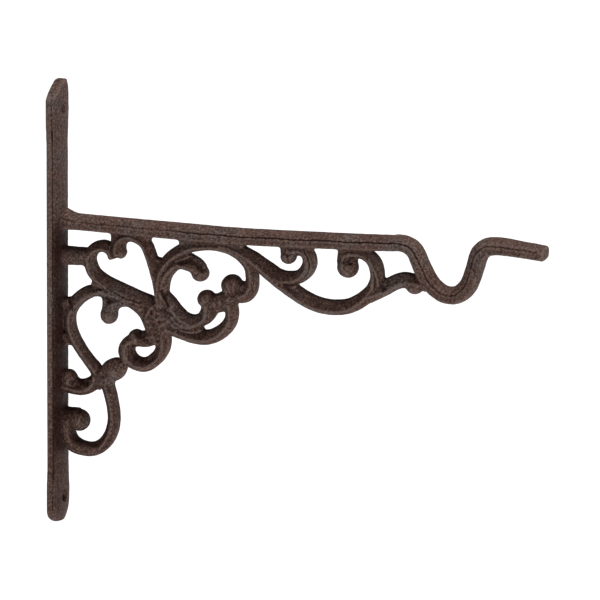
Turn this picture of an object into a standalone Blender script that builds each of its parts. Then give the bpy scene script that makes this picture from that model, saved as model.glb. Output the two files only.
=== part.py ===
"""Cast iron wall bracket for a hanging basket, as one casting.

Frame: the wall is the plane x = 0, the arm runs out along +X, z is up, and the
casting is alike on both sides of the plane y = 0, where its mould parted.
The origin is the middle of the wall plate's back. Lengths below are millimetres.
"""
import math

import bmesh
import bpy
from mathutils import Matrix, Vector

MM = 0.001

# Wall plate
PLATE_HEIGHT = 250.0
PLATE_WIDTH = 26.0
PLATE_EDGE_THICK = 3.6
PLATE_MID_THICK = 5.8
PLATE_END_RISE = 14.0
PLATE_TIP_WIDTH = 4.0
FOOT_THINNING = 0.45
EAR_SWELL = 1.2
EAR_LENGTH = 14.0
SCREW_HEIGHT = 110.0
SCREW_BORE = 6.0
SCREW_SINK = 9.0

# Arm: a bar that bends into the dip for the basket and ends in a short tip
ARM_DEPTH = 13.0
ARM_SIDE_TOP = 0.1
ARM_SIDE_FOOT = -0.75
ARM_CROWN = 2.4
DIP_X = 228.5
DIP_Z = 19.0
DIP_FLAT = 3.0
DIP_BEND = 4.2

# Scrollwork
SCROLL_DEPTH = 12.0
STEP = 4.6

# Each stroke is a smooth line through hand-placed points: x, z, half width
ARM = [
    (2, 48.2, 7.2), (7, 47.2, 5.9), (12, 46.5, 4.6), (22, 46.1, 4.3), (75, 44.7, 4.4),
    (114, 44.1, 4.35), (188, 45.5, 4.25), (198, 46.1, 4.5), (203.8, 45.2, 4.4),
    (208.5, 42.4, 4.2), (213, 33.3, 4.3), (217.2, 26, 4.5), (220.8, 22, 4.6),
    (DIP_X - DIP_BEND, 19.6, 4.6), (DIP_X - DIP_FLAT / 2, DIP_Z, 4.6),
    (DIP_X + DIP_FLAT / 2, DIP_Z, 4.6), (DIP_X + DIP_BEND, 19.6, 4.6),
    (236.1, 22.1, 4.7), (239, 26.2, 4.6), (242, 34.5, 4.4), (244.4, 42.2, 4.4),
    (248.2, 46.3, 4.4), (253.5, 47.8, 4.3), (267, 47.2, 4.2), (279.5, 46, 4.1), (282, 45.8, 2.8),
]
STROKES = {
    "stub to the plate": [(2, 26.8, 6.4), (6, 26.8, 5.3), (21, 27, 4.8)],
    "upper heart, left lobe": [
        (61, 1.5, 4), (50, 5.5, 3.6), (41.3, 8.8, 3.6), (33.2, 12, 3.5), (27.5, 15, 3.4),
        (23.3, 18.7, 3.3), (20.9, 25.5, 3.2), (23, 31, 3.1), (28.3, 33.7, 3), (33.2, 31.8, 3),
        (34.6, 27, 2)],
    "upper heart, right lobe": [
        (61.2, 2, 2.2), (60.7, 11.7, 2.1), (60.1, 18.5, 2.3), (58.6, 25, 2.4), (56.4, 31.2, 2.6),
        (52.8, 37.2, 2.9), (45.8, 40, 2.6), (40.2, 38, 2.8), (38, 33, 3)],
    "web over the upper heart": [(37.6, 43, 4.2), (36.6, 33, 3)],
    "web right of the heart": [(50, 41.2, 4), (56.4, 40.6, 2.3)],
    "web left of the loop": [(74, 40.4, 2.2), (81, 40, 4)],
    "web in the loop": [(72, 30.5, 3), (79, 32.4, 2.2)],
    "web by the great bud": [(104, 15.3, 3.1), (113, 15.6, 3.1)],
    "web under the bar": [(60.6, 18, 3), (61.8, 28.5, 3)],
    "great loop": [
        (61.5, 2, 2.9), (60.6, 10.5, 2.8), (60.9, 16.5, 2.8), (62.8, 22.5, 2.9),
        (67, 28.6, 3.2), (72.6, 33, 3.4), (80, 37, 3.4), (91, 38.6, 3.2), (98.5, 38, 3.2),
        (105.3, 36, 3.3), (111, 32, 3.4), (114.6, 27, 3.4), (115.7, 20, 3.5),
        (114.5, 15.5, 3.9), (112, 12, 4.3), (108, 10.4, 3.8)],
    "inner scroll": [
        (63.5, 2, 2.8), (63.8, 12, 2.9), (65, 18.3, 3), (68, 23.7, 3), (72.7, 27.3, 3),
        (78, 28.7, 3.1), (82.7, 27.4, 3.3), (85.2, 24, 3.4)],
    "lower hook": [
        (64, 8, 3), (68, 4, 3.3), (71.6, 0, 3.6), (76.5, -3.6, 3.6), (82.5, -4.8, 3.7),
        (88, -2.5, 4.2), (91.9, 3.8, 4.8)],
    "web of the loops": [(62, -2, 5), (72, -6.5, 4.4), (80, -8.6, 3.4), (86.5, -9.3, 2)],
    "lower loop": [
        (58, -4, 4.5), (66.3, -9, 4), (74.5, -11.8, 3.9), (82, -13.8, 3.9), (89.5, -14, 3.9),
        (96.5, -11, 3.9), (101.5, -5.8, 3.8), (103.4, 0, 3.7), (102.6, 6, 3.6)],
    "bridge of the buds": [(89, 5.3, 4.5), (96, 5.8, 5.3), (104, 10, 4.9)],
    "lower heart, left lobe": [
        (27, -41, 3.6), (23.9, -36, 3.1), (19.7, -31, 2.7), (15.4, -25.3, 2.7),
        (11.7, -19.2, 2.8), (9.3, -12.7, 3), (8.9, -6, 3.2), (11.1, -0.6, 3.2),
        (15.3, 4, 3.2), (20.3, 7.1, 3.3), (25, 7.9, 3.3), (29.7, 6.3, 3.2), (32.3, 2.4, 3.2),
        (32.6, -2, 3.7)],
    "web at the plate": [(3, -1.5, 3.2), (10, 0.4, 3.2)],
    "web between the hearts": [(23.1, 13.1, 1.9), (28, 10.5, 4)],
    "web by the ball": [(31, 3.4, 3), (40, 1.6, 2.6)],
    "lower heart, right lobe": [
        (27, 8.6, 2.8), (37, 6.2, 3.4), (44.6, 3.8, 3.7), (51, 0.6, 3.9), (56, -4, 4)],
    "ring": [
        (63, -9, 3.8), (64, -18, 4.1), (62.3, -24, 3.7), (58.9, -28.6, 3.7),
        (54, -31.8, 3.8), (48.8, -31.6, 3.8), (44.4, -28.9, 4.1), (42.2, -25, 4.4),
        (43.1, -20.6, 4.8), (47.5, -18.4, 4.9), (54.5, -17.9, 5.2), (60, -14, 5)],
    "outer loop of the foot": [
        (29, -37, 4), (31, -44, 3.3), (33, -51, 3.1), (34.5, -58, 3), (34.9, -65, 3.1),
        (33.4, -72, 3.3), (29.6, -78.2, 3.5), (24, -81.9, 3.7), (18, -82.3, 3.8),
        (12, -80.6, 4.1), (8, -77, 4.4), (7.2, -72, 4.1), (10.5, -67, 4)],
    "web in the foot": [(23, -43, 4), (28.3, -45.6, 2.8)],
    "web at the foot's ball": [(3, -62, 3.4), (11, -63, 3.8)],
    "web at the long lobe": [(8.2, -17, 3), (8.8, -23.3, 2.6)],
    "scroll back to the plate": [(26, -41.5, 3.6), (21, -45.8, 4.2), (15, -47.4, 4.3), (6, -46, 4.4)],
    "swag, upper curl": [
        (97, 38.6, 3.4), (105.5, 36.5, 3.6), (115, 32.2, 3.8), (122.5, 27.7, 3.9),
        (130, 23.4, 3.8), (136, 22.6, 3.5), (141.7, 23.8, 3.3), (146.2, 27.5, 3.4),
        (148.2, 32, 3.5), (147.3, 36.5, 3.4), (143.5, 39.2, 3.3), (138, 38, 3.3)],
    "web over the small curl": [(136, 43, 4.6), (136, 36, 4.3)],
    "swag": [
        (119, 29.5, 3), (123.4, 26.2, 3.8), (130, 21.4, 4), (138, 16.1, 4), (146, 11.5, 4),
        (154, 8.6, 4), (162.7, 7.8, 4), (171, 9.2, 4), (178, 13, 4), (183.8, 18.3, 3.9),
        (186.6, 24, 3.7), (186.8, 29.7, 3.6), (185, 34.8, 3.5), (181.2, 38.2, 3.2),
        (175.5, 39.6, 3), (170.5, 38, 3.2)],
    "web left of the small curl": [(102, 40, 3.6), (110.4, 39.6, 2)],
    "web right of the small curl": [(144, 42.3, 4.2), (150.4, 41, 1.9)],
    "web in the swag": [(133, 20, 3.6), (141, 18.3, 2)],
    "web over the round boss": [(170.3, 43, 5.3), (170, 35, 5.5)],
    "tail to the dip": [
        (182, 15.5, 3.4), (191.7, 21.4, 3.6), (197, 24.4, 3.7), (202, 25.9, 3.8),
        (208, 25.4, 3.8), (216, 24, 3.8)],
}

# Balls and buds: x, z, half length, half width, half depth, lean in degrees
BOSSES = {
    "bud between the heart's lobes": (38.9, 31, 3.9, 3.1, 4.8, -80),
    "bud of the great loop": (103.6, 16, 5.8, 5.4, 6.6, 35),
    "ball of the inner scroll": (85.2, 22, 4.9, 4.7, 5.6, 0),
    "bud of the lower hook": (88.8, 7.2, 5, 4.6, 6.4, 20),
    "ball of the lower heart": (32.2, -4.9, 5.4, 4.8, 5.9, 84),
    "knot": (61, -5, 10.5, 8.3, 7.2, -65),
    "lip of the ring": (47.8, -15.8, 4, 3.3, 6.4, 10),
    "striped bud": (34.8, -36.2, 8.4, 6.2, 6.8, 32),
    "ball of the foot": (14.5, -65.9, 6.1, 6, 6.6, 0),
    "ball at the plate": (8.6, -43.6, 4.6, 5.8, 6.4, 0),
    "ball of the small curl": (136, 34.5, 4.3, 4, 5.4, 0),
    "round boss of the swag": (170, 30.8, 5.9, 5.8, 6.2, 0),
    "ball of the tail": (207.6, 23.3, 4.3, 4, 5.6, 0),
}


def catmull(a, b, c, d, t):
    """Point between b and c on the smooth curve through a, b, c and d."""
    return 0.5 * (2 * b + (c - a) * t + (2 * a - 5 * b + 4 * c - d) * t ** 2
                  + (3 * b - a - 3 * c + d) * t ** 3)


def smooth_line(points, step):
    """The curve through the points, with about one sample per step."""
    p = [Vector(q) for q in points]
    p = [2 * p[0] - p[1]] + p + [2 * p[-1] - p[-2]]
    line = []
    for i in range(1, len(p) - 2):
        run = (p[i + 1].xy - p[i].xy).length
        count = max(1, round(run / step))
        line += [catmull(*p[i - 1:i + 3], k / count) for k in range(count)]
    return line + [p[-2]]


def arm_section(half_width):
    """Half round above, flat cheeks and a shallow ridge below: across, up."""
    deep = ARM_DEPTH / 2
    half = [
        (ARM_CROWN / 2, half_width),
        (0.72 * deep, 0.66 * half_width),
        (deep, ARM_SIDE_TOP * half_width),
        (0.96 * deep, ARM_SIDE_FOOT * half_width),
    ]
    return half + [(0, -half_width)] + [(-y, n) for y, n in reversed(half)]


def scroll_section(half_width, depth):
    """Lens with steep edges and a blunt ridge along the middle of each face."""
    deep = depth / 2
    corner = (0.62 * deep, 0.8 * half_width)
    half = [(0, half_width), corner, (deep, 0)]
    lower = [(corner[0], -corner[1]), (0, -half_width), (-corner[0], -corner[1])]
    return half + lower + [(-deep, 0), (-corner[0], corner[1])]


def as_object(name, bm):
    """A closed mesh object, in metres, that only shapes the casting."""
    bmesh.ops.recalc_face_normals(bm, faces=bm.faces)
    bmesh.ops.scale(bm, vec=Vector((MM, MM, MM)), verts=bm.verts)
    mesh = bpy.data.meshes.new(name)
    bm.to_mesh(mesh)
    bm.free()
    obj = bpy.data.objects.new(name, mesh)
    obj.hide_render = True
    obj.display_type = "WIRE"
    return obj


def loft(name, rings):
    """Skin a row of closed rings, with a flat cap on each end."""
    bm = bmesh.new()
    loops = []
    for ring in rings:
        verts = [bm.verts.new(p) for p in ring]
        loops.append([bm.edges.new((verts[k - 1], verts[k])) for k in range(len(verts))])
    for low, high in zip(loops, loops[1:]):
        bmesh.ops.bridge_loops(bm, edges=low + high)
    bmesh.ops.contextual_create(bm, geom=loops[0])
    bmesh.ops.contextual_create(bm, geom=loops[-1])
    return as_object(name, bm)


def sweep(name, points, section, step=STEP):
    """Carry a section along a smooth line in the plane y = 0."""
    line = smooth_line(points, step)
    rings = []
    for i, here in enumerate(line):
        before, after = line[max(i - 1, 0)], line[min(i + 1, len(line) - 1)]
        along = (after.xy - before.xy).normalized()
        up = Vector((-along.y, along.x))
        ring = []
        for across, lift in section(here.z):
            ring.append((here.x + up.x * lift, across, here.y + up.y * lift))
        rings.append(ring)
    return loft(name, rings)


def boss(name, x, z, half_length, half_width, half_depth, lean):
    """An egg or ball, half sunk in the ends of the scrolls."""
    bm = bmesh.new()
    bmesh.ops.create_uvsphere(bm, u_segments=12, v_segments=8, radius=1)
    size = Matrix.Diagonal((half_length, half_width, half_depth, 1))
    turn = Matrix.Rotation(math.radians(lean), 4, "Z")
    lay = Matrix.Rotation(math.radians(90), 4, "X")
    place = Matrix.Translation((x, 0, z))
    bmesh.ops.transform(bm, matrix=place @ lay @ turn @ size, verts=bm.verts)
    return as_object(name, bm)


def plate_half_width(height):
    """Half the plate's width: round ends, and a slight swell at each screw."""
    spring = PLATE_HEIGHT / 2 - PLATE_END_RISE
    into_end = max(0.0, (abs(height) - spring) / PLATE_END_RISE)
    tip = PLATE_TIP_WIDTH / 2
    round_off = tip + (PLATE_WIDTH / 2 - tip) * math.sqrt(max(0.0, 1 - into_end ** 2))
    near_screw = (abs(height) - SCREW_HEIGHT) / EAR_LENGTH
    swell = EAR_SWELL * max(0.0, 1 - near_screw ** 2)
    return round_off + swell * min(1.0, 2 - 2 * into_end)


def wall_plate():
    """Flat-backed strip with a low crowned front."""
    end = PLATE_HEIGHT / 2
    spring = end - PLATE_END_RISE
    into_end = [1.0, 0.97, 0.88, 0.7, 0.42, 0.0]
    upper = [spring + PLATE_END_RISE * t for t in into_end]
    upper += [SCREW_HEIGHT, SCREW_HEIGHT - EAR_LENGTH / 2, SCREW_HEIGHT - EAR_LENGTH, 40, 0]
    heights = upper + [-z for z in reversed(upper[:-1])]
    rings = []
    for z in heights:
        half = plate_half_width(z)
        into_foot = max(0.0, (-z - spring) / PLATE_END_RISE)
        thin = 1 - FOOT_THINNING * into_foot ** 2
        front = [(thin * PLATE_EDGE_THICK, 0.93 * half), (thin * PLATE_MID_THICK, 0.35 * half)]
        side = [(0, half)] + front
        rings.append([(x, y, z) for x, y in side] + [(x, -y, z) for x, y in reversed(side)])
    return loft("wall plate", rings)


def screw_cutter(name, height):
    """Bore through the plate, with a conical seat for the screw's head."""
    bore, sink = SCREW_BORE / 2, SCREW_SINK / 2
    past = 2.0
    seat = sink - bore
    profile = [(-past, bore), (PLATE_MID_THICK - seat, bore), (PLATE_MID_THICK, sink),
               (PLATE_MID_THICK + past, sink + past)]
    bm = bmesh.new()
    verts = [bm.verts.new((x, r, 0)) for x, r in profile]
    edges = [bm.edges.new(pair) for pair in zip(verts, verts[1:])]
    bmesh.ops.spin(bm, geom=verts + edges, axis=(1, 0, 0), cent=(0, 0, 0),
                   angle=math.tau, steps=16, use_merge=True)
    rims = [e for e in bm.edges if e.is_boundary]
    for x in (profile[0][0], profile[-1][0]):
        rim = [e for e in rims if abs(e.verts[0].co.x - x) < 0.01]
        bmesh.ops.contextual_create(bm, geom=rim)
    bmesh.ops.translate(bm, vec=(0, 0, height), verts=bm.verts)
    return as_object(name, bm)


def cast_iron():
    """Rusted brown iron, dull and a little rough."""
    material = bpy.data.materials.new("cast_iron")
    material.use_nodes = True
    shader = material.node_tree.nodes["Principled BSDF"]
    shader.inputs["Base Color"].default_value = (0.070, 0.047, 0.040, 1)
    shader.inputs["Roughness"].default_value = 0.62
    shader.inputs["Metallic"].default_value = 0.25
    return material


def boolean(obj, operation, shapes, name):
    """Join a group of shapes to the casting, or cut them from it."""
    group = bpy.data.collections.new(name)
    bpy.context.scene.collection.children.link(group)
    for shape in shapes:
        group.objects.link(shape)
    modifier = obj.modifiers.new(name, "BOOLEAN")
    modifier.operation = operation
    modifier.operand_type = "COLLECTION"
    modifier.collection = group
    modifier.solver = "EXACT"


def build():
    for obj in list(bpy.data.objects):
        bpy.data.objects.remove(obj)
    casting = wall_plate()
    casting.name = "basket_bracket"
    casting.hide_render = False
    casting.display_type = "TEXTURED"
    bpy.context.scene.collection.objects.link(casting)
    casting.data.materials.append(cast_iron())
    shapes = [sweep("arm", ARM, arm_section)]
    for i, (name, points) in enumerate(STROKES.items()):
        depth = SCROLL_DEPTH - 0.15 * (i % 4)
        shapes.append(sweep(name, points, lambda w, d=depth: scroll_section(w, d)))
    shapes += [boss(name, *sizes) for name, sizes in BOSSES.items()]
    boolean(casting, "UNION", shapes, "scrollwork")
    screws = [screw_cutter(f"screw {z:+.0f}", z) for z in (SCREW_HEIGHT, -SCREW_HEIGHT)]
    boolean(casting, "DIFFERENCE", screws, "screw holes")


build()
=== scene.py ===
import math

import bmesh
import bpy
import numpy as np
from mathutils import Matrix, Vector


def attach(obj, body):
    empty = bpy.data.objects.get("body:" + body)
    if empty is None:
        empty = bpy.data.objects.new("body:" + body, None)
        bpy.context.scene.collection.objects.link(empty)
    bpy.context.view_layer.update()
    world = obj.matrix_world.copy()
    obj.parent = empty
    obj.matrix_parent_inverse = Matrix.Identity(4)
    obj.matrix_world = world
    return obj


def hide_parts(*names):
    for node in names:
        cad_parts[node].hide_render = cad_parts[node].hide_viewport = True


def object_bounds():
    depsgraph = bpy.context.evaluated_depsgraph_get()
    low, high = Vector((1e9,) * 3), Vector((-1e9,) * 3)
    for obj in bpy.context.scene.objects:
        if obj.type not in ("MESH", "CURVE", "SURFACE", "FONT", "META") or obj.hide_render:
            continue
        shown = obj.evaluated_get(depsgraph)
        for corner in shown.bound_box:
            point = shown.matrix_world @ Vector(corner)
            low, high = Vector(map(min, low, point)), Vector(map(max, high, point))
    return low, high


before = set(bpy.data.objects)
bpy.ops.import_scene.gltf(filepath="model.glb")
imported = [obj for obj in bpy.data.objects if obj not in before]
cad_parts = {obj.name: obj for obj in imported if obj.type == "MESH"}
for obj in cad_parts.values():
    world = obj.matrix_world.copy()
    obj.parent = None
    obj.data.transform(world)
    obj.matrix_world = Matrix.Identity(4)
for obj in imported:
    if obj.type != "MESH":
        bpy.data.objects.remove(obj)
cad_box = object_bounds()

# Wall plate.
# A cast iron strip, flat at the back where it meets the wall and crowned at the front.
# All forms of the bracket are poured as one piece, so each section adds its form to the same iron.
iron = bmesh.new()
MM = 0.001
PLATE_HALF_HEIGHT = 125.8
PLATE_HALF_WIDTH = 13.0
PLATE_EDGE = 3.6
PLATE_CROWN = 5.8
CROWN_SHARE = 0.96
PLATE_DROP = 0.4
FOOT_THINNING = 0.45
FOOT_RISE = 14.0
NEAR_CUT_LENGTH = 10.5
NEAR_CUT_WIDTH = 15.5
TOP_SLANT = 1.75
FOOT_SLANT = 2.75
FAR_CUT_LENGTH = 7.0
FAR_CUT_WIDTH = 6.5
FAR_SLANT = 2.4
SCREW_HEIGHT = 110.0
EAR_SWELL = 1.6
EAR_LENGTH = 14.0
MIDDLE_STEP = 8.0


def mesh_of(name, metal):
    """The finished mesh of a worked form."""
    mesh = bpy.data.meshes.new(name)
    metal.to_mesh(mesh)
    metal.free()
    return mesh


def set_out(name, data):
    """Sets a form, a light or the camera out in the scene."""
    thing = bpy.data.objects.new(name, data)
    bpy.context.scene.collection.objects.link(thing)
    return thing


def as_modified(thing):
    """The thing's mesh as its modifiers leave it."""
    return bpy.data.meshes.new_from_object(thing.evaluated_get(bpy.context.evaluated_depsgraph_get()))


def ring_of(metal, corners):
    """One closed ring of the section's corners, ready to be bridged to the next."""
    verts = bmesh.ops.create_circle(metal, segments=len(corners), radius=1)["verts"]
    for vert, corner in zip(verts, corners):
        vert.co = Vector(corner) * MM
    return verts


def skin(metal, rings):
    """Bridges each ring to the next and closes both ends."""
    loops = [list({e for v in ring for e in v.link_edges}) for ring in rings]
    for low, high in zip(loops, loops[1:]):
        bmesh.ops.bridge_loops(metal, edges=low + high)
    for end in (loops[0], loops[-1]):
        bmesh.ops.contextual_create(metal, geom=end)


def into_end(height, length):
    """How far a height is into the plate's last length: 0 where that begins, 1 at the very end."""
    return max(0.0, (height - PLATE_HALF_HEIGHT + length) / length)


def plate_sides(height):
    """Where the near and the far side stand: the near corners are cut off on a long slant, the far
    ones are only rounded, and both sides swell a little beside each screw."""
    swell = EAR_SWELL * max(0.0, 1 - ((abs(height) - SCREW_HEIGHT) / EAR_LENGTH) ** 2)
    near_cut = into_end(abs(height), NEAR_CUT_LENGTH)
    far_cut = into_end(abs(height), FAR_CUT_LENGTH)
    slant = TOP_SLANT if height > 0 else FOOT_SLANT
    near_side = NEAR_CUT_WIDTH * near_cut ** slant - swell * (1 - near_cut) - PLATE_HALF_WIDTH
    far_side = PLATE_HALF_WIDTH - FAR_CUT_WIDTH * far_cut ** FAR_SLANT + swell * (1 - far_cut)
    return near_side, far_side


def crowned(across, edge):
    """How far the plate's face stands off the wall at a share of its half width."""
    return edge + (PLATE_CROWN - edge) * (1 - (across / CROWN_SHARE) ** 2)


plate = bmesh.new()
ends = [PLATE_HALF_HEIGHT - NEAR_CUT_LENGTH * k / 12 for k in range(13)]
middles = [PLATE_HALF_HEIGHT - NEAR_CUT_LENGTH - MIDDLE_STEP * k for k in range(1, 15)]
rings = []
for height in [-h for h in ends + middles] + [0.0] + (ends + middles)[::-1]:
    near_side, far_side = plate_sides(height)
    thin = 1 - FOOT_THINNING * into_end(-height, FOOT_RISE) ** 2
    slant_rise = min(0.8, 2 * into_end(height, NEAR_CUT_LENGTH))
    slant_edge = PLATE_EDGE + (PLATE_CROWN - PLATE_EDGE) * slant_rise
    face = [(0, 1.0), (PLATE_EDGE * 0.5, 1.0)]
    face += [(crowned(t, PLATE_EDGE), t) for t in (CROWN_SHARE, 0.8, 0.55, 0.3, 0)]
    face += [(crowned(t, slant_edge), t) for t in (-0.3, -0.55, -0.8, -CROWN_SHARE)]
    face += [(slant_edge * 0.5, -1.0), (0, -1.0)]
    middle, half_width = (near_side + far_side) / 2, (far_side - near_side) / 2
    rings.append(ring_of(plate, [(x * thin, middle + t * half_width, height - PLATE_DROP) for x, t in face]))
skin(plate, rings)
bmesh.ops.remove_doubles(plate, verts=plate.verts, dist=1e-7)
bmesh.ops.recalc_face_normals(plate, faces=plate.faces)
plate_object = set_out("wall_plate", mesh_of("wall_plate", plate))

# Screw holes.
# Two round holes are bored through the plate near its ends, each sunk for a screw's head.
BORE_RADIUS = 3.0
BORE_LENGTH = 20.0
SEAT_RADIUS = 5.0
SEAT_TAPER = 2.0
SEAT_PLACE = 5.3
drill = bmesh.new()
for height in (SCREW_HEIGHT, -SCREW_HEIGHT):
    for place, length, back_radius, front_radius in (
            (0, BORE_LENGTH, BORE_RADIUS, BORE_RADIUS),
            (SEAT_PLACE, SEAT_TAPER, BORE_RADIUS * 0.98, SEAT_RADIUS)):
        aim = Matrix.Translation((place * MM, 0, height * MM)) @ Matrix.Rotation(math.radians(90), 4, "Y")
        bmesh.ops.create_cone(drill, cap_ends=True, segments=32, radius1=back_radius * MM,
                              radius2=front_radius * MM, depth=length * MM, matrix=aim)
drill_object = set_out("screw_drill", mesh_of("screw_drill", drill))
cut = plate_object.modifiers.new("screw holes", "BOOLEAN")
cut.operation = "DIFFERENCE"
cut.solver = "EXACT"
cut.use_self = True
cut.object = drill_object
iron.from_mesh(as_modified(plate_object))
for worked in (plate_object, drill_object):
    bpy.data.objects.remove(worked)

# Arm.
# A stout bar with a rounded top, a crease where the top meets each cheek, and a flat underside.
# It runs out from the plate, bends into the dip for the basket's hook and ends in a short blunt tip.
ARM_HALF_DEPTH = 6.5
ARM_LINE = [
    (2, 48.2, 7.2), (7, 47.2, 5.9), (12, 46.5, 4.6), (22, 46.1, 4.3), (75, 44.7, 4.4),
    (114, 44.1, 4.35), (188, 45.6, 4.15), (198, 46.3, 4.2), (203.8, 45.5, 4.2),
    (208.4, 42.2, 4.3), (212.6, 33.3, 4.4), (216.8, 26.1, 4.35), (220.5, 22.2, 4.3),
    (224.3, 19.8, 4.35), (227, 19.1, 4.45), (230, 19, 4.6), (232.7, 19.6, 4.7),
    (236.2, 22.1, 4.9), (239.1, 26.2, 4.8), (242, 34.5, 4.7), (244.3, 42.3, 4.9),
    (248, 46.5, 4.9), (253.5, 47.9, 4.7), (260, 47.8, 4.45), (267, 47.1, 4.2), (279.5, 45.8, 4.05),
    (282, 45.5, 3.8),
]
ARM_FACE = [
    (0, 1.0), (0.25, 0.985), (0.5, 0.87), (0.72, 0.66), (0.88, 0.4), (0.95, 0.24), (0.93, 0.17),
    (0.985, 0.1), (1.0, -0.25), (0.985, -0.55), (0.94, -0.76), (0.75, -0.87), (0.4, -0.96), (0, -1.0),
]
CREASE_SHARE = 0.19
POUR_STEP = 1.3


def smooth_line(points, step):
    """Samples of the smooth curve through the points, about one to a step.

    A point is its place, half width and, for a scroll, how far its crest leans."""
    p = [Vector((*q, 0)[:4]) for q in points]
    p = [2 * p[0] - p[1]] + p + [2 * p[-1] - p[-2]]
    line = []
    for a, b, c, d in zip(p, p[1:], p[2:], p[3:]):
        count = max(1, round((c - b).xy.length / step))
        for k in range(count):
            t = k / count
            line.append(0.5 * (2 * b + (c - a) * t + (2 * a - 5 * b + 4 * c - d) * t ** 2
                               + (3 * b - a - 3 * c + d) * t ** 3))
    return line + [p[-2]]


def square_to(line, i):
    """The direction square to a line at one of its samples."""
    along = (line[min(i + 1, len(line) - 1)].xy - line[max(i - 1, 0)].xy).normalized()
    return Vector((-along.y, along.x))


def add_to_iron(form):
    """Adds one closed form to the iron."""
    mesh = mesh_of("form", form)
    iron.from_mesh(mesh)
    bpy.data.meshes.remove(mesh)


def pour(points, face, half_depth):
    """Carries a section along a line in the middle plane and adds it to the iron."""
    form = bmesh.new()
    line = smooth_line(points, POUR_STEP)
    section = face + [(-y, n) for y, n in face[-2:0:-1]]
    rings = []
    for i, here in enumerate(line):
        up = square_to(line, i)
        lean = [(y, n + here.w * abs(y) * (1 - abs(n))) for y, n in section]
        rings.append(ring_of(form, [
            (here.x + up.x * n * here.z, y * half_depth, here.y + up.y * n * here.z) for y, n in lean]))
    skin(form, rings)
    bmesh.ops.recalc_face_normals(form, faces=form.faces)
    add_to_iron(form)


pour(ARM_LINE, ARM_FACE, ARM_HALF_DEPTH)

# Fine relief is chased into both faces once the iron is one piece: each mark is a line in the
# middle plane, its width, how far it rises or sinks, how much lighter or darker it is painted (mostly
# wear, and at a few marks a painted highlight or painted shadow), and how deep a black line of painted
# shade is cut along it
chased = []


def chase(points, width, rise, tone=0.0, cut=0.0):
    """One chased mark."""
    chased.append((points, width, rise, tone, cut))


def beads(points, width, rise, tone=0.0):
    """A bead at each point."""
    for point in points:
        chase([point], width, rise, tone)


def stripes(feet_and_tops, width, rise, tone):
    """A straight line from each foot to its top."""
    for foot, top in feet_and_tops:
        chase([foot, top], width, rise, tone)


def small_ring(x, z, radius, width, rise, tone=0.0):
    """A ring round a point."""
    turns = [math.radians(a) for a in range(0, 361, 30)]
    chase([(x + radius * math.cos(t), z + radius * math.sin(t)) for t in turns], width, rise, tone)


# The crease wanders a little along the arm, and a black line of painted shade runs in it. It is faint by the
# plate, sharp along the middle and softer again in the dip.
CHASE_STEP = 2.0
LONG_WANDER = 0.035
SHORT_WANDER = 0.03
SHARP_FROM = 36
DIP_FROM = 106
arm_samples = smooth_line(ARM_LINE, CHASE_STEP)
crease_line = []
for i, here in enumerate(arm_samples[2:-2]):
    up = square_to(arm_samples, i + 2)
    share = CREASE_SHARE + LONG_WANDER * math.sin(0.21 * here.x)
    share += SHORT_WANDER * math.sin(0.83 * here.x + 1)
    crease_line.append((here.x + up.x * here.z * share, here.y + up.y * here.z * share))
chase(crease_line[:SHARP_FROM + 1], 0.5, -0.3, -0.12, 0.4)
chase(crease_line[SHARP_FROM:DIP_FROM + 1], 0.42, -0.4, -0.2, 1.0)
chase(crease_line[DIP_FROM:], 0.45, -0.35, -0.15, 0.6)

# Small lumps and pits are scattered over the straight part of the arm
LUMP_COUNT = 150
LUMPS_FROM = 4
LUMPS_LENGTH = 96
lumps = np.random.RandomState(4)
for k in range(LUMP_COUNT):
    i = LUMPS_FROM + k % LUMPS_LENGTH
    here, up = arm_samples[i], square_to(arm_samples, i)
    place = here.xy + up * here.z * lumps.uniform(-0.75, 0.9)
    chase([(place.x + lumps.uniform(-1, 1), place.y)], lumps.uniform(0.5, 0.9), lumps.uniform(-0.2, 0.22),
          lumps.uniform(-0.1, 0.1))
chase([(242, 37.7), (243.7, 35.1), (244.5, 31.7)], 1.5, -0.3, -0.2)
chase([(284.1, 51), (284.3, 44.2)], 0.5, 0.25, 0.3)
chase([(282.5, 48.3), (282.6, 45.5)], 0.8, -0.2, -0.3)
chase([(269.5, 44.5), (273, 45.3)], 0.45, 0.1, 0.5)
chase([(258, 45.6), (268, 44.8), (279, 43.6)], 1.3, 0, -0.14)
chase([(250, 49.4), (266, 49.2), (279, 48.2)], 1.5, 0, 0.12)
beads([(222.5, 23.5), (225.5, 20.5)], 1.8, 0.05, 0.2)

# Stub and upper heart.
# A short iron stub ties the heart to the plate. Two scrolls meet below as the heart's point and curl
# in above it to a small bud. Each scroll rises steeply to a worn crest on both faces, and thin
# rounded webs fill the corners where scrolls meet.
SCROLL_HALF_DEPTH = 6.0
SCROLL_FACE = [
    (0, 1.0), (0.3, 0.985), (0.5, 0.9), (0.62, 0.72), (0.74, 0.46), (0.85, 0.25), (0.95, 0.11),
    (1.0, 0.02), (1.0, -0.02), (0.95, -0.11), (0.85, -0.25), (0.74, -0.46), (0.62, -0.72), (0.5, -0.9),
    (0.3, -0.985), (0, -1.0),
]
WEB_FACE = [(0, 1.0), (0.4, 0.93), (0.75, 0.72), (0.94, 0.38), (1.0, 0), (0.94, -0.38), (0.75, -0.72),
            (0.4, -0.93), (0, -1.0)]


def scroll(points):
    """One scroll, crested on both faces."""
    pour(points, SCROLL_FACE, SCROLL_HALF_DEPTH)


def web(points, half_depth):
    """One rounded web or tie."""
    pour(points, WEB_FACE, half_depth)


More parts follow.
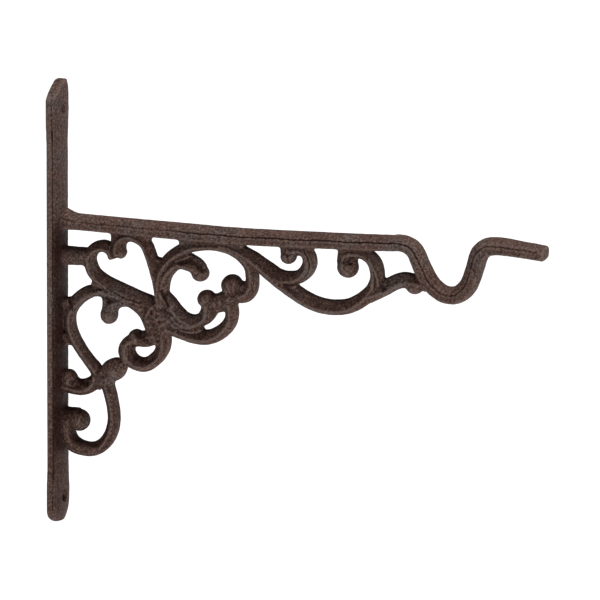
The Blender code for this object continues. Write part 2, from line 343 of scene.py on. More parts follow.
def bud(x, z, half_length, half_width, half_depth, lean):
    """An egg or ball that ends a scroll, as deep as it needs to stand proud on both faces."""
    size = Matrix.Diagonal((half_length, half_width, half_depth, 1))
    place = Matrix.Translation((x * MM, 0, z * MM)) @ Matrix.Rotation(math.radians(90), 4, "X")
    turn = Matrix.Rotation(math.radians(lean), 4, "Z")
    form = bmesh.new()
    bmesh.ops.create_uvsphere(form, u_segments=32, v_segments=20, radius=MM, matrix=place @ turn @ size)
    add_to_iron(form)


web([(2, 26.8, 6.4), (6, 26.8, 5.3), (21, 27, 4.8)], 6.0)
scroll([(61, 1.5, 4, 0.3), (50, 5.5, 3.6, 0.45), (41.3, 8.8, 3.6, 0.55), (33.2, 12, 3.5, 0.55),
        (27.5, 15, 3.4, 0.45), (23.3, 18.7, 3.3, 0.35), (20.9, 25.5, 3.2, 0), (23, 31, 3.1, -0.4),
        (28.3, 33.7, 3, -0.55), (33.2, 31.8, 3, -0.3), (34.6, 27, 2, 0)])
scroll([(61.6, 2, 1.9, 0), (61.1, 9.5, 1.9, 0.3), (59.9, 18.5, 2.5, 0.6), (58.2, 25, 2.7, 0.6),
        (56.1, 31.2, 2.8, 0.6), (52.8, 37.2, 2.9, 0.4), (45.8, 40, 2.6, 0), (40.2, 38, 2.9, -0.3),
        (38.1, 33.5, 3.3, -0.5), (38.8, 29.6, 3.5, -0.5)])
web([(37.6, 43, 4.2), (36.6, 33, 3)], 4.2)
web([(50, 41.2, 4), (56.4, 40.6, 2.3)], 4.6)
web([(60.6, 18, 3), (61.8, 28.5, 3)], 3.8)
bud(38.9, 31, 3.9, 3.1, 4.6, -80)
chase([(40.8, 34.9), (42.2, 31.6), (42.5, 28.8)], 0.8, -0.5, -0.15)
chase([(21.8, 33), (26.4, 35.6), (31, 37)], 1.2, 0, -0.12)
beads([(33, 37.4), (33.9, 33.8)], 0.7, 0.5, 0.1)
chase([(25.6, 13), (28.7, 10.4), (32.2, 9)], 0.7, 0.3, 0.15)
chase([(32.5, 10.7), (35.6, 9.2), (39.7, 7.3), (44.8, 5.4), (51.7, 3.6)], 0.5, -0.6, -0.25)

# Great loop and inner scroll.
# The great loop climbs from the heart's point under the arm and rolls over to its big bud.
# Inside it the inner scroll ends in a broad hollow leaf and the lower hook in a bud.
scroll([(62.3, 2, 2.7, 0), (61.7, 10.5, 2.6, 0), (61.4, 16.5, 2.7, -0.2), (62.8, 22.5, 2.9, -0.4),
        (67, 28.6, 3.2, -0.45), (72.6, 33, 3.4, -0.5), (80, 37, 3.4, -0.5), (91, 38.6, 3.2, -0.5),
        (98.5, 38, 3.2, -0.45), (105.3, 36, 3.3, -0.35), (111, 32, 3.4, -0.15), (114.4, 27, 3.3, 0),
        (115.3, 20, 3.3, 0), (114.5, 15.5, 3.9, 0), (112, 12, 4.3, 0), (108, 10.4, 3.8, 0)])
scroll([(63.5, 2, 2.8, 0), (63.8, 12, 2.9, 0), (65, 18.3, 3, -0.1), (68.2, 23.5, 3.2, -0.3),
        (72.7, 27, 3.5, -0.45), (77.8, 27.6, 4.4, -0.6), (82.4, 26.1, 4.5, -0.5),
        (85, 23, 4.5, -0.2)])
scroll([(64, 8, 3, 0), (68, 4, 3.3, -0.2), (71.6, -0.3, 3.3, -0.3), (76.5, -4.1, 3.2, -0.5),
        (82.5, -5.3, 3.3, -0.55), (88, -2.8, 4, -0.2), (91.9, 3.8, 4.8, 0.5)])
web([(74, 40.4, 3), (90, 40.5, 3.2), (106, 39.8, 2.6)], 5.0)
web([(72, 30.5, 3), (79, 32.4, 2.2)], 3.8)
web([(104, 15.3, 3.1), (113, 15.6, 3.1)], 4.5)
web([(109, 11, 3.2), (103, 8, 3.6)], 4.6)
scroll([(62, -2, 5, 0), (72, -6.5, 4.4, -0.2), (80, -8.8, 3, -0.3), (83, -9.1, 2.4, 0)])
scroll([(58, -4, 4.5, 0), (66.3, -9, 4, -0.2), (74.5, -11.8, 3.9, -0.35), (82, -13.8, 3.9, -0.4),
        (89.5, -14, 3.9, -0.35), (96.5, -11, 3.9, -0.25), (101.8, -5.8, 3.6, 0), (103.7, 0, 3.3, 0.1),
        (102.6, 6, 3.6, 0)])
web([(89, 5.3, 4.5), (96, 5.8, 5.3), (104, 10, 4.9)], 5.2)
bud(103.4, 16.5, 6, 5.6, 6.6, 35)
bud(85.1, 22, 5.0, 4.8, 5.0, 0)
bud(88.8, 7.8, 5, 4.7, 6.4, 20)
chase([(72.4, 28.3), (77, 30.1), (80.5, 31.7), (82.2, 32.6)], 0.6, 1.0, 0.12)
chase([(75.3, 27.9), (79.9, 29.1), (83.9, 27.7), (87.4, 24.5)], 1.6, -0.9, -0.2)
beads([(85.6, 20.2)], 1.2, 0.5, 0.25)
chase([(64.4, 11.2), (66.1, 6.8), (68.1, 3)], 0.9, -1.3, -0.35)
chase([(70.1, -3.1), (72.4, -6.3), (76.4, -7.7), (80.5, -8.1), (83.9, -7.2),
       (87.4, -4.7)], 0.6, 0.5, 0.15)
chase([(70.1, -7.5), (75.3, -10), (80.5, -11), (84.5, -10.5), (87.9, -9.2)], 0.55, 0.7, 0.12)
chase([(73.6, -9.3), (79.3, -9.9), (84.5, -9.2)], 0.5, -0.6, -0.15)
stripes([((103.4, 9.9), (100.9, 15.3)), ((104.3, 10.5), (102.9, 17.4)), ((105.5, 10.8), (106, 17.9)),
         ((106.6, 10.9), (108.6, 17)), ((107.5, 10.4), (110.3, 14.8))], 0.42, 0.25, 0.06)
chase([(99.4, 16.9), (101.7, 20.1), (105.2, 21.8), (108.6, 20.6)], 1.6, -0.1, -0.2)
beads([(101.7, 14.2), (101.4, 11.4), (102.3, 8.7)], 1.0, 0.4, 0.2)
chase([(86.2, 9.3), (89.1, 11.4), (93.1, 11.4)], 1.6, -0.1, -0.2)
chase([(87.9, 6), (89.4, 2.2), (89.4, -1.2)], 0.9, 0.5, 0.22)
beads([(94.3, 6.4), (97.7, 7), (101.1, 5.8), (103.4, 3.7)], 1.0, 0.3, 0.1)

# Lower heart and knot.
# A second heart hangs from the plate with a ball in its cleft. The knot ties it to the upper
# heart, the loops and the ring.
scroll([(27, -41, 3.6, 0), (23.9, -36, 3.1, 0), (19.7, -31, 2.7, 0), (15.4, -25.3, 2.7, 0),
        (11.7, -19.2, 2.8, 0), (9.3, -12.7, 3, -0.2), (8.9, -6, 3.4, -0.4), (11.3, -0.8, 3.5, -0.6),
        (15.5, 3.8, 3.6, -0.6), (20.3, 6.9, 3.5, -0.6), (25, 8.2, 3.0, -0.4), (30, 7.6, 2.8, 0),
        (35, 6.4, 2.8, 0)])
web([(47, 3.4, 3), (41, 3.4, 3.2), (36.6, 2, 3.4), (33.2, -1.5, 3.9), (32.4, -4.5, 4)], 5.6)
web([(3, -1.5, 3.2), (10, 0.4, 3.2)], 4.4)
web([(23.1, 13.1, 1.9), (28, 10.5, 4)], 4.4)
scroll([(27, 8.6, 2.8, 0), (37, 6.4, 3.2, 0), (44.6, 4, 3.6, 0), (50.6, 0.9, 4, 0)])
web([(44.6, 4, 3.5), (50.6, 0.9, 4.1), (54.7, -3.5, 4.3), (57.1, -8.6, 4.4), (59, -14, 4)], 5.9)
web([(31.2, 8, 3), (31.4, 2, 2.7), (31.4, -2, 3)], 4.8)
bud(32.2, -4.9, 5.4, 4.8, 5.9, 84)
web([(48, 1.8, 3.4), (55, -1, 5.6), (62, -4.5, 7.6), (64, -9.5, 6.6), (61.5, -15, 4.4),
     (60.5, -19, 3)], 6.2)
web([(60, -3, 6), (70, -5.5, 6), (78, -8.2, 4), (83, -9.2, 2.4)], 5.6)
bud(84, -9.2, 2.9, 2.3, 5.2, -12)
beads([(29.9, 8.8), (31.3, 6.4), (33.9, 8), (36.2, 7.9), (38.5, 6.1)], 0.85, 0.4, 0.2)
beads([(40.8, 6.8), (43.7, 5.8), (46.6, 4.3), (50, 2.9), (52.3, 0.2)], 0.8, 0.35, 0.18)
small_ring(41.7, 3.2, 1.3, 0.5, 0.5, 0.15)
chase([(34.5, 1), (38.5, 2.7)], 0.8, 0.2, 0.1)
beads([(32.5, -6.7)], 1.6, 0.2, 0.18)
# painted shadow in the neck above the lower heart's ball, on a shallow sink
chase([(31.6, 5), (33.3, 3.4)], 1.6, -0.3, -0.25)
small_ring(61.8, -2.8, 1.9, 0.7, 0.18, 0.05)
small_ring(65.2, -10.1, 1.9, 0.7, 0.16, 0.04)
chase([(60.9, -9.9), (64, -8.6), (67.8, -5.6), (71.8, -2.7)], 0.7, 0.22, 0.12)
chase([(55.2, -4.6), (57.5, 0.6), (60.9, 3.1)], 0.7, 0.4, 0.1)
beads([(58, -9.5), (56.3, -6.2), (67.8, 0.7), (70.1, 2.6), (59.2, -15), (69, -14.9),
       (72.4, -11.3)], 0.9, 0.5, 0.12)
beads([(63.2, -6.3), (58.6, -1.6), (62.1, -17.1)], 0.9, -0.5, -0.2)
chase([(17.2, 2.9), (11.5, -2.5), (8.6, -7.8)], 1.2, 0, -0.1)
chase([(10.3, 1.3), (12.4, -2.5)], 1.1, -0.5, -0.35)

# Ring, striped bud and foot.
# The ring hangs from the knot and its lip meets the striped bud. Below them the foot's loop
# swings round to a ball beside the plate.
scroll([(63, -9, 3.8, 0), (64.1, -18, 3.9, 0.1), (62.6, -24, 3.6, 0.25), (58.9, -28.6, 3.7, 0.3),
        (54, -31.8, 3.8, 0.3), (48.8, -31.6, 3.8, 0.25), (44.5, -28.9, 4.2, 0.1), (42.4, -25, 4.5, 0),
        (43.5, -20.9, 3.9, 0), (47.8, -18, 3.9, 0), (54.5, -17.1, 4.5, 0.2), (60, -14, 5, 0)])
bud(47.8, -15.8, 4, 3.3, 5.6, 10)
bud(34.8, -36.2, 8.4, 6.2, 6.4, 32)
scroll([(29, -37, 4, 0), (31, -44, 3.3, 0), (33, -51, 3.1, 0), (34.5, -58, 3, 0), (34.9, -65, 3.1, 0),
        (33.4, -72, 3.3, 0), (29.6, -78.2, 3.5, 0.1), (24, -81.9, 3.7, 0.3), (18, -82.3, 3.8, 0.4),
        (12, -80.6, 4.1, 0.4), (8, -77, 4.4, 0.3), (7.2, -72, 4.1, 0.1), (10.5, -67, 4, 0)])
web([(23, -43, 4), (28.3, -45.6, 2.8)], 4.4)
web([(3, -64, 4.6), (14, -65, 5.6)], 5.4)
web([(26, -81.4, 2), (17, -81.6, 3.2), (10.5, -79, 3.8), (7.6, -73, 4), (8, -66, 4)], 6.4)
web([(24, -41, 3), (30.5, -41.5, 4.2), (35, -39, 3)], 6.4)
web([(8.2, -17, 3), (8.8, -23.3, 2.6)], 4.2)
scroll([(26, -41.5, 3.6, 0), (21, -45.8, 4.2, 0.3), (15, -47.4, 4.3, 0.4), (6, -46, 4.4, 0.2)])
bud(14.5, -66.3, 6.1, 6.1, 6, 0)
bud(8.6, -43.6, 4.6, 5.8, 6, 0)
chase([(49.4, -13.4), (51.7, -16.4), (55.2, -17)], 1.5, -0.9, -0.3)
beads([(48.6, -18.3)], 1.3, 0.9, 0.35)
chase([(42.2, -21.8), (42, -25.7), (43.1, -30.7)], 1.3, 0.6, 0.22)
stripes([((41.1, -23.5), (41.4, -29.7)), ((42.5, -21.2), (42.8, -31.3)), ((44, -23.4), (44.3, -30.1))],
        0.35, 0.3, 0.08)
chase([(47.7, -21.4), (47.1, -24.8), (48.9, -28.1)], 1.3, -0.4, -0.2)
chase([(44.8, -33.1), (50.6, -33.6), (55.7, -33), (60.3, -30.7)], 0.6, 0.3, 0.15)
chase([(51.7, -29.6), (57.5, -29.5), (61.5, -26.1)], 1.3, -0.3, -0.15)
beads([(35.9, -37.4)], 2.4, 0.6, 0.16)
stripes([((34.2, -34.1), (33.9, -29.7)), ((35.9, -33.4), (36.5, -28.1)), ((37.6, -33.6), (39.1, -28.5)),
         ((39.1, -34.6), (41.4, -29.7))], 0.5, 0.2, 0.04)
# painted highlight on the striped bud, on a small raised bead
beads([(40.2, -32.3)], 0.9, 0.4, 0.35)
beads([(25.3, -36.4), (27.6, -39.1), (29.9, -33.3), (32.2, -41), (33.9, -44.3)], 0.8, 0.3, 0.12)
small_ring(11.8, -44.1, 2.2, 0.8, 0.3, 0.05)
chase([(14.9, -41), (17.2, -44.3), (20.7, -44.6)], 1.2, -0.5, -0.25)
beads([(34.5, -49.8), (34.6, -52.4), (34.7, -54.9), (34.8, -57.7), (35.1, -60.5), (35.2, -63.3),
       (35.1, -66.1), (34.8, -68.6), (34.4, -71.2)], 0.7, 0.35, 0.15)
chase([(9, -61.5), (14.4, -59.1), (18.4, -59.9)], 1.8, 0, -0.12)
beads([(14.9, -66.3), (12.6, -65.4)], 1.5, 0.2, 0.15)
chase([(11.5, -80.6), (9.5, -74), (9.8, -66.1)], 0.8, 0.15, 0.04)

# Swag.
# The swag leaves the great loop, sends up the small curl, sweeps down and rolls back to the
# round boss under the arm. Its tail runs on to the foot of the dip.
scroll([(97, 38.6, 3.4, 0), (105.5, 36.5, 3.6, 0), (115, 32.2, 3.8, -0.3), (122.5, 27.7, 3.9, -0.5),
        (130, 23.4, 3.8, -0.5), (136, 22.6, 3.5, -0.55), (141.8, 23.5, 3.6, -0.3), (146.5, 27.3, 3.8, 0),
        (148.3, 32, 3.7, 0.3), (147.3, 36.5, 3.4, 0.4), (143.5, 39.2, 3.3, 0.2), (138, 38, 3.3, 0)])
web([(136, 43, 4.6), (136, 36, 4.3)], 4.6)
scroll([(119, 29.5, 3, 0), (123.4, 26.2, 3.8, -0.3), (130, 21.4, 4, -0.4), (138, 16.1, 4, -0.5),
        (146, 11.5, 4, -0.5), (154, 8.6, 4, -0.5), (162.7, 7.8, 4, -0.5), (171, 9.2, 4, -0.4),
        (178, 13, 4, -0.2), (183.8, 18.3, 3.9, 0), (186.6, 24, 3.7, 0.2), (186.8, 29.7, 3.6, 0.4),
        (185, 34.8, 3.5, 0.5), (181.2, 38.2, 3.2, 0.4), (175.5, 39.6, 3, 0.2), (170.5, 38, 3.2, 0)])
web([(102, 40, 3.6), (110.4, 39.6, 2)], 4.8)
web([(144, 42.3, 4.2), (150.4, 41, 1.9)], 4.8)
web([(133, 20, 3.6), (141, 18.3, 2)], 4.2)
web([(170.3, 43, 5.4), (169.6, 33, 5.9)], 4.4)
scroll([(182, 15.2, 3.8, 0), (191.8, 20.9, 4.1, -0.5), (197, 24, 4.1, -0.5), (202, 25.7, 4.1, -0.4),
        (208, 25.4, 3.8, -0.2), (216, 24, 3.8, 0)])
bud(136, 34.5, 4.3, 4, 5.4, 0)
bud(170, 30.8, 5.9, 5.8, 6, 0)
bud(208.3, 22.9, 4.9, 4.5, 6.2, 0)
beads([(134.8, 35.6), (138.8, 35), (136.8, 38.2), (140.2, 38.2)], 0.9, 0.5, 0.12)
chase([(136.8, 35.7), (137.1, 32.4)], 0.6, -0.4, -0.15)
chase([(145.4, 39.1), (147.1, 36.4), (148.4, 33.1), (148.4, 29.8), (147.1, 26.9)], 0.45, 0.35, 0.1)
chase([(146.8, 39.2), (148.7, 36), (149.9, 32.7), (149.7, 29.3), (148.3, 25.8)], 0.4, 0.3, 0.08)
chase([(146.3, 38.6), (148, 35.3), (149.2, 32.1), (149.1, 28.7)], 0.35, -0.3, -0.1)
beads([(125.3, 23.1), (128.2, 21.1), (131, 19.9), (133.9, 18.9), (136.2, 16), (139.7, 13.2),
       (143.7, 10.3), (147.1, 8.6), (151.1, 7), (155.2, 6.1), (159.2, 5.6), (162.6, 5.7),
       (166.7, 6.1), (170.7, 7.1), (174.7, 8.8), (178.2, 11)], 0.75, 0.3, 0.14)
chase([(136.2, 18.3), (139.7, 15.7), (142, 13.6)], 1.2, -0.15, -0.1)
chase([(135.1, 19.9), (139.1, 19.3), (143.1, 20.1)], 0.8, -0.4, -0.1)
chase([(175.9, 38.1), (172.4, 39.3), (169, 37.6), (167.5, 33.9), (168.4, 30),
       (171.3, 27.9)], 0.8, 0.5, 0.18)
chase([(174.1, 37.1), (172.1, 35.8), (171, 33.5)], 0.9, -0.4, -0.2)
beads([(172.6, 33.5)], 0.75, -1.0, -0.5)
chase([(176.4, 35), (176.7, 31.7), (174.7, 28.7)], 1.0, -0.2, -0.15)
chase([(183.3, 36.9), (185.3, 32.8), (187, 29.3), (188, 25.7), (188.5, 21.8)], 0.55, 0.5, 0.16)
chase([(184.8, 28.8), (185.3, 24.9), (185.1, 21)], 0.55, 0.5, 0.12)
chase([(185.9, 30), (186.8, 26.2), (186.8, 21.7)], 0.5, -0.4, -0.1)
beads([(191.7, 20.6)], 1.5, -0.9, -0.35)
chase([(191.4, 17.8), (194.8, 20.2), (198.3, 22.7), (201.7, 23.9)], 0.7, 0.3, 0.2)
beads([(201.7, 24.1), (204, 24.2), (206, 23.5), (208.6, 24.8), (207.5, 21.9)], 0.7, 0.4, 0.25)
# painted highlight: a bright glint on the tail's end bud
beads([(210.8, 23.8)], 0.9, 0.5, 0.9)

# The casting.
# All the forms run together with small fillets, as molten iron leaves them in a sand mould.
# The skin is a little uneven, and the back stays flat against the wall.
SKIN_VOXEL = 0.00055
SAND_GRAIN = 0.0035
SAND_UNEVEN = 0.00028
MOST_TRIANGLES = 190000
BACK_DEPTH = 0.0004
GIVEN_BACK = 0.2
CORNER_FILL = 0.0009
FILL_ROUNDS = 3
FILL_REACH = 10
casting = set_out("bracket_casting", mesh_of("bracket_casting", iron))
fuse = casting.modifiers.new("run together", "REMESH")
fuse.mode = "VOXEL"
fuse.voxel_size = SKIN_VOXEL
ease = casting.modifiers.new("ease", "SMOOTH")
ease.factor = 0.5
ease.iterations = 2
sand = bpy.data.textures.new("sand mould", "CLOUDS")
sand.noise_scale = SAND_GRAIN
sand.noise_depth = 2
uneven = casting.modifiers.new("sand mould", "DISPLACE")
uneven.texture = sand
uneven.strength = SAND_UNEVEN
uneven.mid_level = 0.5
fused = as_modified(casting)
casting.modifiers.clear()
casting.data = fused


def read(collection, name, width, kind):
    """One value of every item of a mesh, as rows."""
    values = np.empty(len(collection) * width, kind)
    collection.foreach_get(name, values)
    return values.reshape(-1, width)


spots = read(fused.vertices, "co", 3, np.float32).astype(float)
normals = read(fused.vertex_normals, "vector", 3, np.float32).astype(float)
edges = read(fused.edges, "vertices", 2, np.int32)
beside_count = np.bincount(edges.ravel(), minlength=len(spots))


def eased(values, times):
    """Values run together with their neighbours on the skin."""
    first, second = edges.T
    for _ in range(times):
        total = np.stack([np.bincount(first, column[second], len(values))
                          + np.bincount(second, column[first], len(values)) for column in values.T], 1)
        values = 0.5 * values + 0.5 * total / beside_count[:, None]
    return values


def share_of_way(values, start, end):
    """How far values have come on their way: 0 up to the start and 1 from the end on."""
    return np.clip((values - start) / (end - start), 0, 1)


# Corners fill as the metal runs in, and the outer edges stay crisp
for _ in range(FILL_ROUNDS):
    hollow = ((eased(spots, FILL_REACH) - spots) * normals).sum(1)
    spots += normals * np.clip(hollow, 0, CORNER_FILL)[:, None]
flat = spots[:, ::2] / MM
from_wall, across, height = spots.T / MM

# The chased relief, on the faces that look to either side. Easing drew the skin in a little, and
# that much is given back first.
rise = np.full(len(spots), GIVEN_BACK)
tone = np.zeros(len(spots))
groove = np.zeros(len(spots))
to_side = share_of_way(abs(normals[:, 1]), 0.2, 0.6)
for points, width, lift, shade, cut in chased:
    line = np.array(points, float)
    about = (flat > line.min(0) - 3 * width).all(1) & (flat < line.max(0) + 3 * width).all(1)
    about = np.flatnonzero(about & (to_side > 0))
    away = np.full(len(about), 1e3)
    for start, end in zip(line, line[1:] if len(line) > 1 else line):
        run = end - start
        along = np.clip((flat[about] - start) @ run / max(run @ run, 1e-9), 0, 1)
        away = np.minimum(away, np.linalg.norm(flat[about] - start - along[:, None] * run, axis=1))
    mark = np.exp(-(away / width) ** 2) * to_side[about]
    rise[about] += lift * mark
    tone[about] += shade * mark
    groove[about] = np.maximum(groove[about], cut * mark)

# A groove parts the plate's crowned face from its edge, and painted shade darkens it
GROOVE_SINK = 0.35
GROOVE_PAINTED_SHADE = 0.35
GROOVE_WIDTH = 0.5
GROOVE_REACH = 1.1
GROOVE_PLACE = 0.95 * PLATE_EDGE
GROOVE_TOP = PLATE_HALF_HEIGHT - 7
GROOVE_FADE = 3
heights = np.linspace(-PLATE_HALF_HEIGHT, PLATE_HALF_HEIGHT, 501)
near_sides, far_sides = np.array([plate_sides(h) for h in heights]).T
from_edge = np.minimum(across - np.interp(height, heights, near_sides),
                       np.interp(height, heights, far_sides) - across)
mark = np.exp(-((from_wall - GROOVE_PLACE) / GROOVE_WIDTH) ** 2 - (from_edge / GROOVE_REACH) ** 2)
mark *= share_of_way(abs(height), GROOVE_TOP, GROOVE_TOP - GROOVE_FADE)
rise -= GROOVE_SINK * mark
groove = np.maximum(groove, mark)
# painted shade along the groove
tone -= GROOVE_PAINTED_SHADE * mark

# What stands out wears paler than what lies in a hollow, and the hollows are darkened by rust and by painted
# shade
EVEN_WEAR = 0.5
RIDGE_WEAR = 2.2
WEAR_REACH = 8
spots += normals * rise[:, None] * MM
bulge = ((spots - eased(spots, WEAR_REACH)) * normals).sum(1) / MM

# A painted shadow of the arm darkens what faces up beneath it, more near the plate than under the swag.
# Painted shade darkens the plate and foot low down, and a painted shadow of the scrolls darkens
# the plate's face between them. Its sides are painted paler with painted light.
ARM_SHADOW_DARK = 0.25
SWAG_ARM_SHADOW_DARK = 0.17
LOW_PAINTED_SHADE = 0.16
SIDE_PAINTED_LIGHT = 0.12
FACE_SCROLL_SHADOW = 0.42
under_arm = share_of_way(height, 43, 40) * share_of_way(from_wall, 214, 210)
arm_shadow = ARM_SHADOW_DARK + (SWAG_ARM_SHADOW_DARK - ARM_SHADOW_DARK) * share_of_way(from_wall, 100, 140)
# painted shadow: up-facing skin beneath the arm is darkened
tone -= arm_shadow * share_of_way(normals[:, 2], 0, 2 / 3) * under_arm
# painted shade: everything low down is darkened
tone -= LOW_PAINTED_SHADE * share_of_way(height, -30, -60)
# painted light: the plate's sides near the wall are made paler
tone += SIDE_PAINTED_LIGHT * share_of_way(from_wall, 4, 3) * share_of_way(abs(across), 11, 12)
between_scrolls = share_of_way(height, 50, 42) * share_of_way(height, -88, -74)
on_face = share_of_way(from_wall, 7.5, 6.5) * share_of_way(normals[:, 0], 0.1875, 0.8125)
# painted shadow of the scrolls on the plate's face
tone -= FACE_SCROLL_SHADOW * between_scrolls * on_face
# the wear value also carries the painted shadows, painted shade and painted highlights above
for name, values in (("wear_and_painted_light", EVEN_WEAR + bulge * RIDGE_WEAR + tone), ("groove", groove)):
    kept = fused.attributes.new(name, "FLOAT", "POINT")
    kept.data.foreach_set("value", np.clip(values, 0, 1).astype(np.float32))
fused.vertices.foreach_set("co", spots.astype(np.float32).ravel())
fused.update()

thin = casting.modifiers.new("fewer faces", "DECIMATE")
thin.ratio = min(1.0, MOST_TRIANGLES / (2 * len(fused.polygons)))
thinned = as_modified(casting)
casting.modifiers.clear()
casting.data = thinned
thinned.name = "bracket_casting"

# The back is ground flat for the wall, and nothing stands out past the bracket's own box
spots = read(thinned.vertices, "co", 3, np.float32)
spots[spots[:, 0] < BACK_DEPTH, 0] = 0
thinned.vertices.foreach_set("co", np.clip(spots, cad_box[0], cad_box[1]).astype(np.float32).ravel())
thinned.polygons.foreach_set("use_smooth", [True] * len(thinned.polygons))
thinned.update()

# Patina.
# Bare cast iron that has rusted brown and been handled: dark red in the hollows, from rust and painted
# shade, paler and greyer where it is worn, with a fine grain of pits from the sand mould. The same colour
# also carries painted shadows, painted shade and a few painted highlights.
IRON_SHEEN = 0.05
RUST_PATCHES = 42
MOTTLE_SPECKS = 880
RUBBED_SPECKS = 1150
DASH_PATCHES = 640
DULL_PATCHES = 300
PITS = 900
PIT_STRENGTH = 0.6
PIT_DEPTH = 0.0004
RUBBED_AND_HIGHLIGHT_IRON = (0.135, 0.10, 0.086, 1.0)
CREASE_SHADE_BLACK = (0.010, 0.005, 0.004, 1.0)
patina = bpy.data.materials.new("rusted_cast_iron")
patina.use_nodes = True
nodes, links = patina.node_tree.nodes, patina.node_tree.links
shader = nodes["Principled BSDF"]
shader.inputs["Metallic"].default_value = 0.0
shader.inputs["Specular IOR Level"].default_value = IRON_SHEEN
where = nodes.new("ShaderNodeTexCoord")


def grain(scale, detail, rough=0.55):
    """A cloud of noise on the casting, at so many patches to the metre."""
    cloud = nodes.new("ShaderNodeTexNoise")
    cloud.inputs["Scale"].default_value = scale
    cloud.inputs["Detail"].default_value = detail
    cloud.inputs["Roughness"].default_value = rough
    links.new(where.outputs["Object"], cloud.inputs["Vector"])
    return cloud.outputs["Fac"]


def skin_value(name):
    """A value kept on the casting's own mesh."""
    kept = nodes.new("ShaderNodeAttribute")
    kept.attribute_name = name
    return kept.outputs["Fac"]


def ramp(source, stops):
    """Colours or greys along a value, as (place, colour) stops."""
    band = nodes.new("ShaderNodeValToRGB")
    marks = band.color_ramp.elements
    while len(marks) < len(stops):
        marks.new(0.5)
    for mark, (place, colour) in zip(marks, stops):
        mark.position = place
        mark.color = (*colour, 1) if isinstance(colour, tuple) else (colour, colour, colour, 1)
    links.new(source, band.inputs["Fac"])
    return band.outputs["Color"]


def blend(kind, amount, first, second):
    """Two colours mixed by an amount or by another value."""
    mix = nodes.new("ShaderNodeMix")
    mix.data_type = "RGBA"
    mix.blend_type = kind
    for socket, source in (("Factor", amount), ("A", first), ("B", second)):
        entry = next(s for s in mix.inputs if s.name == socket and s.enabled)
        if isinstance(source, (float, tuple)):
            entry.default_value = source
        else:
            links.new(source, entry)
    return next(s for s in mix.outputs if s.enabled)


rust = ramp(grain(RUST_PATCHES, 3), [(0.34, (0.058, 0.032, 0.026)), (0.5, (0.0705, 0.042, 0.034)),
                                     (0.66, (0.066, 0.049, 0.043))])
mottle = ramp(grain(MOTTLE_SPECKS, 4, 0.7), [(0.35, (0.30, 0.27, 0.27)), (0.5, (0.96, 0.95, 0.95)),
                                             (0.63, (2.1, 2.07, 2.05))])
patina_colour = blend("MULTIPLY", 1.0, rust, mottle)
# low values darken to dark red: rust in the hollows together with painted shade and painted shadows
hollows_and_shade = ramp(skin_value("wear_and_painted_light"), [(0.1, (0.36, 0.28, 0.27)), (0.5, (1.0, 1.0, 1.0)),
                                    (0.75, (1.25, 1.27, 1.28))])
patina_colour = blend("MULTIPLY", 1.0, patina_colour, hollows_and_shade)
# high values turn to pale rubbed iron: wear, and the painted highlights and painted light
rubbed_and_highlight = blend("MULTIPLY", 1.0, ramp(skin_value("wear_and_painted_light"), [(0.58, 0.0), (0.95, 1.0)]),
               ramp(grain(RUBBED_SPECKS, 2), [(0.42, 0.25), (0.6, 1.0)]))
patina_colour = blend("MIX", rubbed_and_highlight, patina_colour, RUBBED_AND_HIGHLIGHT_IRON)
# painted shade: a broken near-black line along the creases and the plate's groove
crease_shade = blend("MULTIPLY", 1.0, ramp(skin_value("groove"), [(0.3, 0.0), (0.75, 1.0)]),
               ramp(grain(DASH_PATCHES, 3), [(0.38, 0.2), (0.52, 1.0)]))
patina_colour = blend("MIX", crease_shade, patina_colour, CREASE_SHADE_BLACK)
links.new(patina_colour, shader.inputs["Base Color"])
links.new(ramp(grain(DULL_PATCHES, 3), [(0.3, 0.5), (0.7, 0.75)]), shader.inputs["Roughness"])
pits = nodes.new("ShaderNodeBump")
pits.inputs["Strength"].default_value = PIT_STRENGTH
pits.inputs["Distance"].default_value = PIT_DEPTH
links.new(grain(PITS, 4, 0.65), pits.inputs["Height"])
links.new(pits.outputs["Normal"], shader.inputs["Normal"])
casting.data.materials.clear()
casting.data.materials.append(patina)
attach(casting, "root")
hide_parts("basket_bracket")

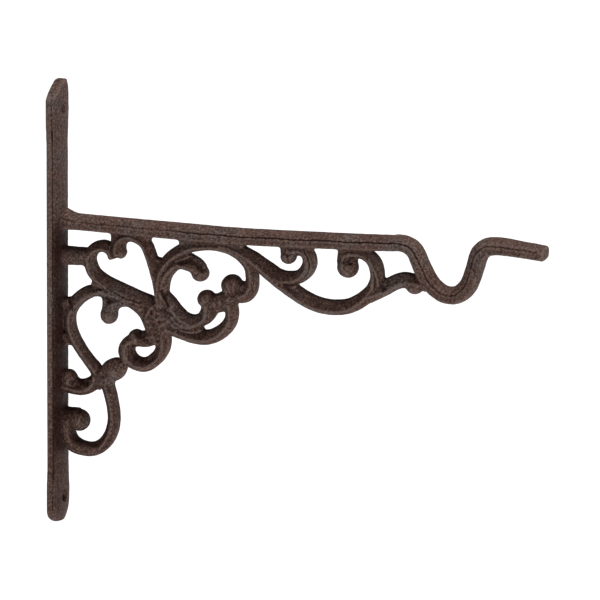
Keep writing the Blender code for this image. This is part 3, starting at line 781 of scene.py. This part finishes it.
# Floor, light and camera.
# A plain pale floor lies well below the bracket. Soft light comes from straight above, with a weak
# fill from the right. The camera stands where the photograph was taken from.
FLOOR_HALF_SIZE = 15
FLOOR_HEIGHT = -0.30
FLOOR_COLOUR = (0.95, 0.95, 0.95, 1)
floor_shape = bmesh.new()
bmesh.ops.create_grid(floor_shape, x_segments=1, y_segments=1, size=FLOOR_HALF_SIZE)
bmesh.ops.translate(floor_shape, vec=(0, 0, FLOOR_HEIGHT), verts=floor_shape.verts)
floor = set_out("floor", mesh_of("floor", floor_shape))
pale = bpy.data.materials.new("pale_floor")
pale.use_nodes = True
floor_shader = pale.node_tree.nodes["Principled BSDF"]
floor_shader.inputs["Base Color"].default_value = FLOOR_COLOUR
floor_shader.inputs["Roughness"].default_value = 0.9
floor_shader.inputs["Specular IOR Level"].default_value = 0.0
floor.data.materials.append(pale)

# The walls of the studio give back a little white light, and the lamps give the rest
STUDIO_GLOW = 0.2
OVERHEAD_POWER = 3.2
OVERHEAD_SPREAD = math.radians(16)
OVERHEAD_AIM = Vector((-0.06, 0.03, -1))
FILL_POWER = 26
FILL_SIZE = 1.6
FILL_PLACE = (2.4, -1.6, 0.5)
FILL_AIM = Vector((-2.26, 1.6, -0.5))
studio = bpy.data.worlds.new("studio")
studio.use_nodes = True
studio.node_tree.nodes["Background"].inputs["Color"].default_value = (1, 1, 1, 1)
studio.node_tree.nodes["Background"].inputs["Strength"].default_value = STUDIO_GLOW
bpy.context.scene.world = studio
overhead = bpy.data.lights.new("overhead", "SUN")
overhead.energy = OVERHEAD_POWER
overhead.angle = OVERHEAD_SPREAD
set_out("overhead", overhead).rotation_euler = OVERHEAD_AIM.to_track_quat("-Z", "Y").to_euler()
fill = bpy.data.lights.new("fill", "AREA")
fill.shape = "SQUARE"
fill.size = FILL_SIZE
fill.energy = FILL_POWER
fill_holder = set_out("fill", fill)
fill_holder.location = FILL_PLACE
fill_holder.rotation_euler = FILL_AIM.to_track_quat("-Z", "Y").to_euler()

AZIMUTH = math.radians(17)
ELEVATION = math.radians(12)
ROLL = math.radians(0.29)
TARGET = Vector((0.1426, 0, 0.0105))
DISTANCE = 3.661
LONG_LENS = 400
back = Vector((math.sin(AZIMUTH) * math.cos(ELEVATION), -math.cos(AZIMUTH) * math.cos(ELEVATION),
               math.sin(ELEVATION)))
lens = bpy.data.cameras.new("camera")
lens.lens = LONG_LENS
lens.sensor_width = 36
lens.clip_end = 50
camera = set_out("camera", lens)
camera.matrix_world = (Matrix.Translation(TARGET + back * DISTANCE)
                       @ back.to_track_quat("Z", "Y").to_matrix().to_4x4()
                       @ Matrix.Rotation(ROLL, 4, "Z"))
bpy.context.scene.camera = camera
bpy.context.scene.view_settings.view_transform = "Standard"
